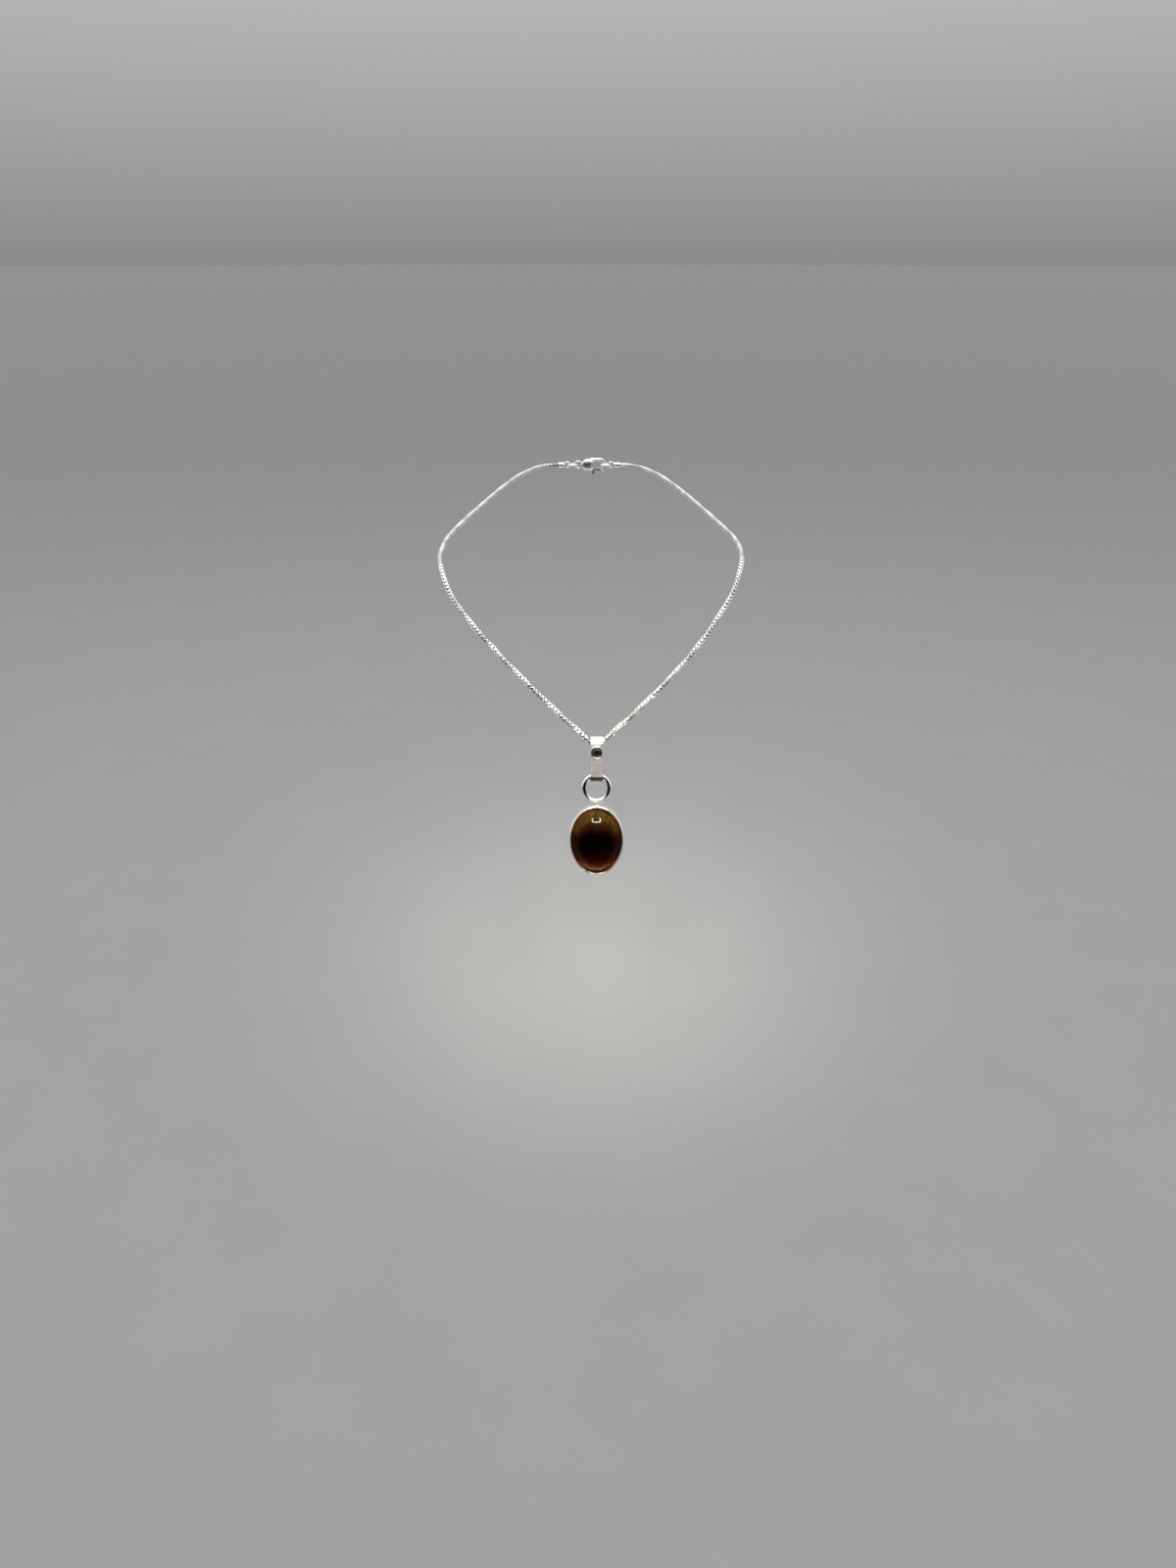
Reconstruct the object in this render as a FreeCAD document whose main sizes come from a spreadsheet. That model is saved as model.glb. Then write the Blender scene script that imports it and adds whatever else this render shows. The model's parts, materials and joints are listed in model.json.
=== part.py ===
"""A pendant necklace: an oval cabochon in a bezel, hung by a ring and a strap bail on a box chain.

Millimetres. +X is the wearer's left as seen from the front, +Y is towards the nape and +Z is up.
The origin is the middle of the neck opening, level with the top of the shoulders.
The pendant's pieces are drawn in a hanging frame: its origin is the lowest point of the chain's axis,
and it leans back with the chest. The clasp's pieces are drawn in a frame on the nape.
"""

import FreeCAD, Part
import math
import os
import Sketcher

from FreeCAD import Placement, Rotation, Vector

SIZES = {
    # Where things are.
    "pendant_right": 2.0,
    "pendant_forward": 85.35,
    "pendant_drop": 45.4,
    "chest_lean": 14.0,
    "nape_back": 58.5,
    "nape_height": 12.8,
    # Chain.
    "chain_thickness": 1.5,
    "chain_bend_in_bail": 3.3,
    # Bail: one strap folded round the chain above and round the ring below.
    "strap_thickness": 0.65,
    "strap_width": 3.66,
    "bail_above_chain": 1.48,
    "bail_length": 13.9,
    "top_fold_radius": 1.55,
    "bottom_fold_radius": 1.3,
    # Accent stone on the bail's front.
    "accent_below_chain": 2.35,
    "cup_radius": 1.8,
    "cup_height": 1.3,
    "cup_floor": 0.35,
    "cup_bore": 1.53,
    "cup_seat_radius": 1.2,
    "cup_seat_height": 0.8,
    "accent_radius": 1.5,
    "accent_table": 0.85,
    "accent_girdle": 0.95,
    "accent_crown": 0.55,
    "accent_culet": 0.45,
    # Ring between the bail and the bezel.
    "ring_radius": 3.93,
    "ring_wire": 0.665,
    # Bezel and its stone.
    "ring_to_stone": 16.0,
    "bezel_half_height": 10.8,
    "bezel_half_width": 8.3,
    "wall_thickness": 0.7,
    "lip_overlap": 1.12,
    "wall_depth": 4.4,
    "wall_front": 2.3,
    "lip_depth": 0.95,
    "plate_thickness": 0.6,
    "bearing_width": 1.0,
    "bearing_depth": 1.6,
    "stone_half_height": 10.0,
    "stone_half_width": 7.5,
    "stone_girdle": 0.6,
    "stone_dome": 4.2,
    "solder_radius": 0.85,
    "solder_length": 1.05,
    "solder_sunk": 0.26,
    # Chain ends.
    "cap_radius": 1.1,
    "cap_bore": 0.8,
    "cap_length": 2.4,
    "cap_end_wall": 0.5,
    "eye_radius": 1.1,
    "eye_wire": 0.3,
    "eye_sunk": 0.1,
    # Jump rings.
    "link_radius": 1.75,
    "link_wire": 0.35,
    "link_play": 0.08,
    # Lobster clasp.
    "clasp_eye_radius": 1.3,
    "clasp_eye_wire": 0.4,
    "clasp_body_length": 3.1,
    "clasp_body_height": 2.35,
    "clasp_body_thickness": 1.25,
    "hook_radius": 2.1,
    "hook_wire": 0.55,
    "hook_arm": 3.6,
    "hook_sweep": 150.0,
    "hook_play": 0.65,
    "cavity_length": 1.8,
    "slot_width": 1.0,
    "lever_thickness": 0.8,
    "lever_hub": 1.0,
    "gate_reach": 4.3,
    "gate_length": 4.35,
    "gate_height": 0.8,
    "gate_low": 1.75,
    "tab_along": 1.6,
    "tab_length": 1.5,
    "tab_end_radius": 0.6,
    "rivet_low": 1.1,
    "rivet_radius": 0.3,
    "rivet_play": 0.05,
    "rivet_length": 2.0,
    "spring_radius": 0.5,
    "spring_wire": 0.08,
    "spring_well": 0.4,
    "spring_well_radius": 0.74,
    # How far a cutting form runs past the surface it opens.
    "overshoot": 1.0,
}

# The chain's route from one end at the nape, down over the left shoulder to the bail, and up the right.
CHAIN_ROUTE = [
    (-10.3, 58.5, 12.8),
    (-17.6, 58.5, 12.8),
    (-24.8, 47.5, 12.0),
    (-30.3, 33.0, 10.6),
    (-35.4, 17.0, 8.6),
    (-40.1, 1.5, 6.5),
    (-44.5, -14.0, 4.5),
    (-47.9, -28.0, 2.5),
    (-48.8, -41.5, -1.7),
    (-42.2, -54.0, -11.8),
    (-29.4, -65.3, -23.0),
    (-13.5, -76.7, -35.4),
    (-3.3, -83.0, -42.8),
    (2.0, -86.2, -46.4),
    (7.2, -82.9, -42.7),
    (18.0, -76.2, -35.0),
    (33.2, -64.9, -22.6),
    (44.8, -52.0, -9.4),
    (49.3, -40.5, -0.9),
    (48.6, -27.5, 2.6),
    (44.9, -14.0, 4.4),
    (40.4, 1.5, 6.5),
    (35.6, 17.0, 8.6),
    (30.4, 33.0, 10.6),
    (24.6, 47.5, 12.0),
    (17.2, 58.5, 12.8),
    (9.9, 58.5, 12.8),
]
SHARE_OF_RUN = 0.45

doc = FreeCAD.newDocument("pendant_necklace")
sheet = doc.addObject("Spreadsheet::Sheet", "Sizes")


def fill_sheet():
    for row, (alias, size) in enumerate(SIZES.items(), start=1):
        sheet.set(f"A{row}", alias)
        sheet.set(f"B{row}", str(size))
        sheet.setAlias(f"B{row}", alias)
    doc.recompute()


def size(alias):
    return float(sheet.get(alias))


def total(*aliases):
    """The sum of the named sizes as an expression and as a number; a leading minus takes one away."""
    expression, number = "", 0.0
    for alias in aliases:
        sign = "-" if alias.startswith("-") else "+"
        name = alias.lstrip("-")
        expression += f" {sign} Sizes.{name}"
        number += -size(name) if sign == "-" else size(name)
    return expression.removeprefix(" + "), number


def bind(thing, **sizes):
    """Ties an object's own sizes to the sheet; a plain number stays a number."""
    for name, expression in sizes.items():
        if isinstance(expression, str):
            thing.setExpression(name, expression)
        else:
            setattr(thing, name, expression)
    return thing


def part(kind, name, place, **sizes):
    thing = doc.addObject(kind, name)
    thing.Placement = place
    return bind(thing, **sizes)


# Frames ------------------------------------------------------------------------------------------


def hanging_frame():
    low = Vector(size("pendant_right"), -size("pendant_forward"), -size("pendant_drop"))
    return Placement(low, Rotation(Vector(1, 0, 0), -size("chest_lean")))


def at(x, y, z, axis=Vector(0, 0, 1), degrees=0):
    return Placement(Vector(x, y, z), Rotation(axis, degrees))


# A piece whose own Z is turned to run along the frame's Y, as a ring that faces the front does.
FACING = Rotation(Vector(1, 0, 0), 90)
# A piece whose own X points up and whose own Z points back, as the tall ovals do.
TALL = Rotation(Vector(1, 1, 1), 240)


# Sketches ----------------------------------------------------------------------------------------


def new_sketch(body, role, name):
    sketch = body.newObject("Sketcher::SketchObject", name)
    plane = next(f for f in body.Origin.OriginFeatures if f.Role == role)
    sketch.AttachmentSupport = [(plane, "")]
    sketch.MapMode = "FlatFace"
    return sketch


def name_size(sketch, index, name, expression):
    sketch.renameConstraint(index, name)
    sketch.setExpression(f"Constraints.{name}", expression)


def half_profile(body, role, name, corners):
    """A closed outline beside the sketch's upright axis; each corner is two totals, or None for zero."""
    sketch = new_sketch(body, role, name)
    spots = [Vector(x[1] if x else 0, y[1] if y else 0, 0) for x, y in corners]
    count = len(spots)
    for index, spot in enumerate(spots):
        sketch.addGeometry(Part.LineSegment(spot, spots[(index + 1) % count]))
    for index in range(count):
        sketch.addConstraint(Sketcher.Constraint("Coincident", index, 2, (index + 1) % count, 1))
    for index, (x, y) in enumerate(corners):
        if x:
            across = Sketcher.Constraint("DistanceX", -1, 1, index, 1, x[1])
            name_size(sketch, sketch.addConstraint(across), f"across_{index}", x[0])
        else:
            sketch.addConstraint(Sketcher.Constraint("PointOnObject", index, 1, -2))
        if y:
            along = Sketcher.Constraint("DistanceY", -1, 1, index, 1, y[1])
            name_size(sketch, sketch.addConstraint(along), f"along_{index}", y[0])
        else:
            sketch.addConstraint(Sketcher.Constraint("PointOnObject", index, 1, -1))
    return sketch


def revolved(name, place, corners):
    body = doc.addObject("PartDesign::Body", name)
    sketch = half_profile(body, "XZ_Plane", f"{name}_profile", corners)
    turn = body.newObject("PartDesign::Revolution", f"{name}_turn")
    turn.Profile = sketch
    turn.ReferenceAxis = (sketch, ["V_Axis"])
    turn.Angle = 360
    body.Placement = place
    return body


def loop_outline(sketch, top, bottom, spacing, first):
    """Two round ends, one above the other, joined by the two lines that touch both."""
    lean = math.asin((top[1] - bottom[1]) / spacing)
    upper, lower = Vector(0, 0, 0), Vector(0, -spacing, 0)
    top_circle = Part.Circle(upper, Vector(0, 0, 1), top[1])
    bottom_circle = Part.Circle(lower, Vector(0, 0, 1), bottom[1])
    sketch.addGeometry(Part.ArcOfCircle(top_circle, -lean, math.pi + lean))
    sketch.addGeometry(Part.ArcOfCircle(bottom_circle, math.pi + lean, 2 * math.pi - lean))
    for side in (1, -1):
        reach = Vector(side * math.cos(lean), -math.sin(lean), 0)
        sketch.addGeometry(Part.LineSegment(upper + reach * top[1], lower + reach * bottom[1]))
    right, left = first + 2, first + 3
    joints = [(first, 1, right, 1), (first, 2, left, 1), (first + 1, 2, right, 2), (first + 1, 1, left, 2)]
    for joint in joints:
        sketch.addConstraint(Sketcher.Constraint("Tangent", *joint))
    radius = sketch.addConstraint(Sketcher.Constraint("Radius", first, top[1]))
    name_size(sketch, radius, f"top_{first}", top[0])
    radius = sketch.addConstraint(Sketcher.Constraint("Radius", first + 1, bottom[1]))
    name_size(sketch, radius, f"bottom_{first}", bottom[0])


# Bail --------------------------------------------------------------------------------------------


def bail_heights():
    """Heights in the hanging frame: the centre of the top fold and the centre of the bottom fold."""
    strap = size("strap_thickness")
    crest = size("bail_above_chain") + strap
    top = size("bail_above_chain") - size("top_fold_radius")
    bottom = crest - size("bail_length") + strap + size("bottom_fold_radius")
    return top, bottom


def bail_strap(hang):
    body = doc.addObject("PartDesign::Body", "bail_strap")
    sketch = new_sketch(body, "YZ_Plane", "bail_side_view")
    top, bottom = bail_heights()
    outer_top = total("top_fold_radius", "strap_thickness")
    outer_bottom = total("bottom_fold_radius", "strap_thickness")
    loop_outline(sketch, outer_top, outer_bottom, top - bottom, 0)
    loop_outline(sketch, total("top_fold_radius"), total("bottom_fold_radius"), top - bottom, 4)
    spacing = sketch.addConstraint(Sketcher.Constraint("DistanceY", 1, 3, 0, 3, top - bottom))
    folds = "Sizes.top_fold_radius - Sizes.bottom_fold_radius"
    name_size(sketch, spacing, "fold_spacing", f"Sizes.bail_length - 2 * Sizes.strap_thickness - {folds}")
    sketch.addConstraint(Sketcher.Constraint("Coincident", 0, 3, -1, 1))
    sketch.addConstraint(Sketcher.Constraint("PointOnObject", 1, 3, -2))
    sketch.addConstraint(Sketcher.Constraint("Coincident", 4, 3, 0, 3))
    sketch.addConstraint(Sketcher.Constraint("Coincident", 5, 3, 1, 3))
    pad = body.newObject("PartDesign::Pad", "bail_width")
    pad.Profile = sketch
    pad.SideType = "Symmetric"
    pad.setExpression("Length", "Sizes.strap_width")
    body.Placement = hang * at(0, 0, top)


def accent_place(hang):
    """On the strap's front leg, facing out from it."""
    top, bottom = bail_heights()
    up_the_leg = size("accent_below_chain") + top
    narrowing = math.asin((size("top_fold_radius") - size("bottom_fold_radius")) / (top - bottom))
    depth = (size("top_fold_radius") + size("strap_thickness")) / math.cos(narrowing)
    depth -= up_the_leg * math.tan(narrowing)
    tilt = Rotation(Vector(1, 0, 0), 90 + math.degrees(narrowing))
    return hang * Placement(Vector(0, -depth, -size("accent_below_chain")), tilt)


def accent_setting(hang):
    outside, bore, seat = total("cup_radius"), total("cup_bore"), total("cup_seat_radius")
    rim, shelf, floor = total("cup_height"), total("cup_seat_height"), total("cup_floor")
    corners = [(None, None), (outside, None), (outside, rim), (bore, rim), (bore, shelf)]
    corners += [(seat, floor), (None, floor)]
    revolved("accent_setting", accent_place(hang), corners)


def accent_stone(hang):
    girdle, table = total("accent_radius"), total("accent_table")
    low, high = total("accent_girdle"), total("accent_girdle", "accent_crown")
    corners = [(None, total("accent_culet")), (girdle, low), (table, high), (None, high)]
    revolved("accent_stone", accent_place(hang), corners)


# Ring, bezel and stone ---------------------------------------------------------------------------


def ring_height():
    return bail_heights()[1] - size("ring_radius")


def stone_height():
    return ring_height() - size("ring_to_stone")


def wire_ring(name, place, radius, wire):
    torus = part("Part::Torus", name, place)
    return bind(torus, Radius1=f"Sizes.{radius}", Radius2=f"Sizes.{wire}")


def pendant_ring(hang):
    place = hang * Placement(Vector(0, 0, ring_height()), FACING)
    wire_ring("pendant_ring", place, "ring_radius", "ring_wire")


def oval(name, place, half_height, half_width, depth):
    """A solid of oval outline whose depth runs back from its place."""
    outline = part("Part::Ellipse", f"{name}_outline", place)
    bind(outline, MajorRadius=half_height, MinorRadius=half_width)
    solid = doc.addObject("Part::Extrusion", name)
    solid.Base = outline
    solid.DirMode = "Normal"
    solid.Solid = True
    solid.setExpression("LengthFwd", depth)
    return solid


def cut(name, base, tool):
    result = doc.addObject("Part::Cut", name)
    result.Base = base
    result.Tool = tool
    return result


def fuse(name, *shapes):
    result = doc.addObject("Part::MultiFuse", name)
    result.Shapes = list(shapes)
    return result


def oval_place(hang, depth):
    """The bezel's axis, this far behind the hanging frame's middle plane."""
    return hang * Placement(Vector(0, depth, stone_height()), TALL)


def bezel_wall(hang):
    front, full = -size("wall_front"), "Sizes.wall_depth"
    high, wide = "Sizes.bezel_half_height", "Sizes.bezel_half_width"
    blank = oval("wall_blank", oval_place(hang, front), high, wide, full)
    lip = oval("lip_opening", oval_place(hang, front - size("overshoot")), f"{high} - Sizes.lip_overlap",
               f"{wide} - Sizes.lip_overlap", f"{full} + 2 * Sizes.overshoot")
    inside = oval("wall_inside", oval_place(hang, front + size("lip_depth")),
                  f"{high} - Sizes.wall_thickness", f"{wide} - Sizes.wall_thickness", full)
    cut("bezel_wall", blank, fuse("wall_hollow", lip, inside))


def bezel_back_plate(hang):
    back = size("wall_depth") - size("wall_front")
    oval("bezel_back_plate", oval_place(hang, back), "Sizes.bezel_half_height",
         "Sizes.bezel_half_width", "Sizes.plate_thickness")


def bezel_bearing(hang):
    """The inner step that the stone sits on."""
    front = size("wall_depth") - size("wall_front") - size("bearing_depth")
    high = "Sizes.bezel_half_height - Sizes.wall_thickness"
    wide = "Sizes.bezel_half_width - Sizes.wall_thickness"
    ring = oval("bearing_blank", oval_place(hang, front), high, wide, "Sizes.bearing_depth")
    hole = oval("bearing_hole", oval_place(hang, front - size("overshoot")), f"{high} - Sizes.bearing_width",
                f"{wide} - Sizes.bearing_width", "Sizes.bearing_depth + 2 * Sizes.overshoot")
    cut("bezel_bearing", ring, hole)


def cabochon(hang):
    """A high dome on a thin straight girdle, seated on the bearing."""
    seat = size("wall_depth") - size("wall_front") - size("bearing_depth")
    high, wide = "Sizes.stone_half_height", "Sizes.stone_half_width"
    girdle = seat - size("stone_girdle")
    base = oval("stone_base", oval_place(hang, girdle), high, wide, "Sizes.stone_girdle")
    middle = Vector(0, girdle, stone_height())
    dome = part("Part::Ellipsoid", "stone_dome_form", hang * Placement(middle, FACING))
    bind(dome, Radius1="Sizes.stone_dome", Radius2=wide, Radius3=high, Angle1=0, Angle2=90, Angle3=360)
    fuse("cabochon_stone", base, dome)


def solder_joint(hang):
    """The bead that joins the ring to the top of the bezel."""
    low = stone_height() + size("bezel_half_height") - size("solder_sunk")
    bead = part("Part::Cylinder", "solder_bead", hang * at(0, 0, low))
    bind(bead, Radius="Sizes.solder_radius", Height="Sizes.solder_length")
    ring = wire_ring("ring_for_solder", hang * Placement(Vector(0, 0, ring_height()), FACING),
                     "ring_radius", "ring_wire")
    wall = oval("wall_for_solder", oval_place(hang, -size("wall_front")), "Sizes.bezel_half_height",
                "Sizes.bezel_half_width", "Sizes.wall_depth")
    cut("solder_joint", bead, fuse("solder_neighbours", ring, wall))


# Chain -------------------------------------------------------------------------------------------


def chain_path():
    """Straight runs joined by tangent arcs; prints the arcs' radii."""
    points = [Vector(*p) for p in CHAIN_ROUTE]
    edges, radii, start = [], [], points[0]
    lowest = min(range(len(points)), key=lambda i: points[i].z)
    for index in range(1, len(points) - 1):
        before, corner, after = points[index - 1 : index + 2]
        back, ahead = (before - corner).normalize(), (after - corner).normalize()
        half_turn = (math.pi - back.getAngle(ahead)) / 2
        run = min(before.distanceToPoint(corner), after.distanceToPoint(corner))
        setback = SHARE_OF_RUN * run
        if index == lowest:
            setback = size("chain_bend_in_bail") * math.tan(half_turn)
        radius = setback / math.tan(half_turn)
        radii.append(round(radius, 1))
        enter, leave = corner + back * setback, corner + ahead * setback
        inward = (back + ahead).normalize()
        middle = corner + inward * (radius / math.cos(half_turn) - radius)
        edges += [Part.LineSegment(start, enter).toShape(), Part.Arc(enter, middle, leave).toShape()]
        start = leave
    edges.append(Part.LineSegment(start, points[-1]).toShape())
    print("chain arc radii, mm:", radii)
    return Part.Wire(edges)


def chain_tube():
    path = chain_path()
    radius = size("chain_thickness") / 2
    start = path.Edges[0].Vertexes[0].Point
    profile = Part.Wire(Part.Circle(start, path.Edges[0].tangentAt(0), radius).toShape())
    tube = path.makePipeShell([profile], True, True)
    expected = math.pi * radius**2 * path.Length
    print(f"chain length {path.Length:.1f} mm, volume over expected {tube.Volume / expected:.4f}")
    chain = doc.addObject("Part::Feature", "chain")
    chain.Shape = tube


# Chain ends, jump rings and clasp ----------------------------------------------------------------
# These pieces lie along X at the nape: the carrying end first, and the receiving end last.


def nape(x, y=0, z=0, rotation=None):
    return Placement(Vector(x, size("nape_back") + y, size("nape_height") + z), rotation or Rotation())


def eye_x(side):
    """The middle of an end cap's eye; side is 1 where the chain comes from -X, and -1 from +X."""
    chain_end = CHAIN_ROUTE[0][0] if side > 0 else CHAIN_ROUTE[-1][0]
    return chain_end + side * (size("cap_end_wall") + size("eye_radius") - size("eye_sunk"))


def link_x(side):
    """The middle of the jump ring that hangs in an end cap's eye."""
    touching = size("eye_radius") - size("eye_wire") - size("link_play") - size("link_wire")
    return eye_x(side) + side * (touching + size("link_radius"))


def clasp_eye_x():
    wire = link_x(1) + size("link_radius")
    return wire - size("link_wire") - size("link_play") + size("clasp_eye_radius") - size("clasp_eye_wire")


def hook_x():
    """The centre of the hook's round end, beyond the ring that it holds."""
    wire = link_x(-1) - size("link_radius")
    return wire + size("link_wire") + size("hook_play") - size("hook_radius") + size("hook_wire")


def end_cap(side, name):
    """A cup over the chain's end with a closed eye soldered to it."""
    chain_end = CHAIN_ROUTE[0][0] if side > 0 else CHAIN_ROUTE[-1][0]
    closed_end = chain_end + side * size("cap_end_wall")
    inward = Rotation(Vector(0, 1, 0), -90 * side)
    cup = part("Part::Cylinder", f"{name}_cup", nape(closed_end, rotation=inward))
    bind(cup, Radius="Sizes.cap_radius", Height="Sizes.cap_length")
    bore = part("Part::Cylinder", f"{name}_bore", nape(chain_end, rotation=inward))
    bind(bore, Radius="Sizes.cap_bore", Height="Sizes.cap_length")
    eye = wire_ring(f"{name}_eye", nape(eye_x(side), rotation=FACING), "eye_radius", "eye_wire")
    cut(name, fuse(f"{name}_solid", cup, eye), bore)


def jump_ring(side, name):
    wire_ring(name, nape(link_x(side)), "link_radius", "link_wire")


def pivot():
    """The rivet's place in X and Z, from the middle of the hook's round end."""
    return hook_x() - size("gate_reach"), -size("rivet_low")


def gate_slope():
    """How far the shut gate runs down towards the hook's tip, in degrees."""
    drop = size("gate_low") - size("rivet_low")
    return math.degrees(math.asin(drop / size("gate_length")))


def clasp_body():
    """A rounded body with an eye behind it, a hooked arm, and a slot for the lever."""
    hook, thick = hook_x(), "Sizes.clasp_body_thickness"
    eye_end = clasp_eye_x() + size("clasp_eye_radius") - size("clasp_eye_wire") / 2
    middle = eye_end + size("clasp_body_length")
    form = part("Part::Ellipsoid", "clasp_form", nape(middle))
    bind(form, Radius1="Sizes.clasp_body_height", Radius2="Sizes.clasp_body_length", Radius3=thick)
    eye = wire_ring("clasp_eye", nape(clasp_eye_x(), rotation=FACING), "clasp_eye_radius", "clasp_eye_wire")
    backwards = Rotation(Vector(0, 1, 0), -90)
    arm = part("Part::Cylinder", "hook_arm_form", nape(hook, 0, size("hook_radius"), backwards))
    bind(arm, Radius="Sizes.hook_wire", Height="Sizes.hook_arm")
    swept = FACING * Rotation(Vector(0, 0, 1), 90 - size("hook_sweep"))
    bow = wire_ring("hook_bow", nape(hook, rotation=swept), "hook_radius", "hook_wire")
    bind(bow, Angle3="Sizes.hook_sweep")
    tip_angle = math.radians(90 - size("hook_sweep"))
    tip_x = hook + size("hook_radius") * math.cos(tip_angle)
    tip = part("Part::Sphere", "hook_tip", nape(tip_x, 0, size("hook_radius") * math.sin(tip_angle)))
    bind(tip, Radius="Sizes.hook_wire")
    solid = fuse("clasp_solid", form, eye, arm, bow, tip)
    cut("clasp_body", solid, fuse("clasp_hollows", *clasp_hollows(hook)))


def clasp_hollows(hook):
    """The space inside the hook, the lever's slot and the rivet's hole."""
    inside = size("hook_radius") - size("hook_wire")
    half = size("clasp_body_thickness") + size("overshoot")
    through = "2 * (Sizes.clasp_body_thickness + Sizes.overshoot)"
    back = hook - size("cavity_length")
    round_end = part("Part::Cylinder", "cavity_back", nape(back, half, 0, FACING))
    bind(round_end, Radius="Sizes.hook_radius - Sizes.hook_wire", Height=through)
    middle = part("Part::Box", "cavity_middle", nape(back, -half, -inside))
    bind(middle, Length="Sizes.cavity_length", Width=through)
    bind(middle, Height="2 * (Sizes.hook_radius - Sizes.hook_wire)")
    across, up = pivot()
    slot_back = across - size("lever_hub") - size("rivet_play")
    below = 2 * size("hook_radius")
    slot = part("Part::Box", "lever_slot", nape(slot_back, -size("slot_width") / 2, -below))
    bind(slot, Length=hook - slot_back, Width="Sizes.slot_width")
    slot.Height = below + up + size("lever_hub") + size("rivet_play")
    hole = part("Part::Cylinder", "rivet_hole", nape(across, half, up, FACING))
    bind(hole, Radius="Sizes.rivet_radius", Height=through)
    return round_end, middle, slot, hole


def clasp_lever():
    """A hub on the rivet, a gate that shuts the hook and a tab for the thumb."""
    across, up = pivot()
    half = size("lever_thickness") / 2
    turned = nape(across, 0, up, Rotation(Vector(0, 1, 0), gate_slope()))
    hub = part("Part::Cylinder", "lever_hub_form", nape(across, half, up, FACING))
    bind(hub, Radius="Sizes.lever_hub", Height="Sizes.lever_thickness")
    gate = part("Part::Box", "gate_form", turned * at(0, -half, -size("gate_height") / 2))
    bind(gate, Length="Sizes.gate_length", Width="Sizes.lever_thickness", Height="Sizes.gate_height")
    tip_place = turned * Placement(Vector(size("gate_length"), half, 0), FACING)
    tip = part("Part::Cylinder", "gate_tip", tip_place)
    bind(tip, Radius="Sizes.gate_height / 2", Height="Sizes.lever_thickness")
    tab = part("Part::Box", "tab_form", turned * at(size("tab_along"), -half, -size("tab_length")))
    bind(tab, Length="Sizes.gate_height", Width="Sizes.lever_thickness", Height="Sizes.tab_length")
    tab_middle = size("tab_along") + size("gate_height") / 2
    tab_end = turned * Placement(Vector(tab_middle, half, -size("tab_length")), FACING)
    thumb = part("Part::Cylinder", "tab_end", tab_end)
    bind(thumb, Radius="Sizes.tab_end_radius", Height="Sizes.lever_thickness")
    past = size("overshoot")
    hole = part("Part::Cylinder", "lever_bore", nape(across, past, up, FACING))
    bind(hole, Radius="Sizes.rivet_radius + Sizes.rivet_play", Height="2 * Sizes.overshoot")
    well = part("Part::Cylinder", "spring_well", nape(across, half + past, up, FACING))
    bind(well, Radius="Sizes.spring_well_radius", Height="Sizes.overshoot + Sizes.spring_well")
    corner = nape(across - size("spring_well_radius"), half - size("spring_well"), up)
    way = part("Part::Box", "spring_way", corner)
    bind(way, Length="2 * Sizes.spring_well_radius", Width="Sizes.overshoot", Height="Sizes.lever_hub")
    solid = fuse("lever_solid", hub, gate, tip, tab, thumb)
    cut("clasp_lever", solid, fuse("lever_hollows", hole, well, way))


def clasp_rivet():
    across, up = pivot()
    rivet = part("Part::Cylinder", "clasp_rivet", nape(across, size("rivet_length") / 2, up, FACING))
    bind(rivet, Radius="Sizes.rivet_radius", Height="Sizes.rivet_length")


def lever_spring():
    """A close-wound coil round the rivet and a straight leg that bears on the roof of the slot."""
    across, up = pivot()
    front = size("lever_thickness") / 2 - size("spring_wire")
    coil = part("Part::Cylinder", "spring_coil", nape(across, front, up, FACING))
    bind(coil, Radius="Sizes.spring_radius + Sizes.spring_wire", Height="3 * Sizes.spring_wire")
    bore = part("Part::Cylinder", "spring_bore", nape(across, front + size("overshoot"), up, FACING))
    bind(bore, Radius="Sizes.spring_radius - Sizes.spring_wire", Height="2 * Sizes.overshoot")
    leg_place = nape(across - size("spring_radius"), front - 1.5 * size("spring_wire"), up)
    leg = part("Part::Cylinder", "spring_leg", leg_place)
    bind(leg, Radius="Sizes.spring_wire", Height="Sizes.lever_hub")
    cut("lever_spring", fuse("spring_solid", coil, leg), bore)


# Whole -------------------------------------------------------------------------------------------

NODES = [
    "chain",
    "chain_end_cap_carrying",
    "chain_end_cap_receiving",
    "jump_ring_carrying",
    "jump_ring_receiving",
    "clasp_body",
    "clasp_lever",
    "clasp_rivet",
    "lever_spring",
    "bail_strap",
    "accent_setting",
    "accent_stone",
    "pendant_ring",
    "solder_joint",
    "bezel_wall",
    "bezel_bearing",
    "bezel_back_plate",
    "cabochon_stone",
]


def build():
    fill_sheet()
    hang = hanging_frame()
    chain_tube()
    end_cap(1, "chain_end_cap_carrying")
    end_cap(-1, "chain_end_cap_receiving")
    jump_ring(1, "jump_ring_carrying")
    jump_ring(-1, "jump_ring_receiving")
    clasp_body()
    clasp_lever()
    clasp_rivet()
    lever_spring()
    for make in (bail_strap, accent_setting, accent_stone, pendant_ring, bezel_wall, bezel_back_plate,
                 bezel_bearing, cabochon, solder_joint):
        make(hang)
    doc.recompute()


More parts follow.
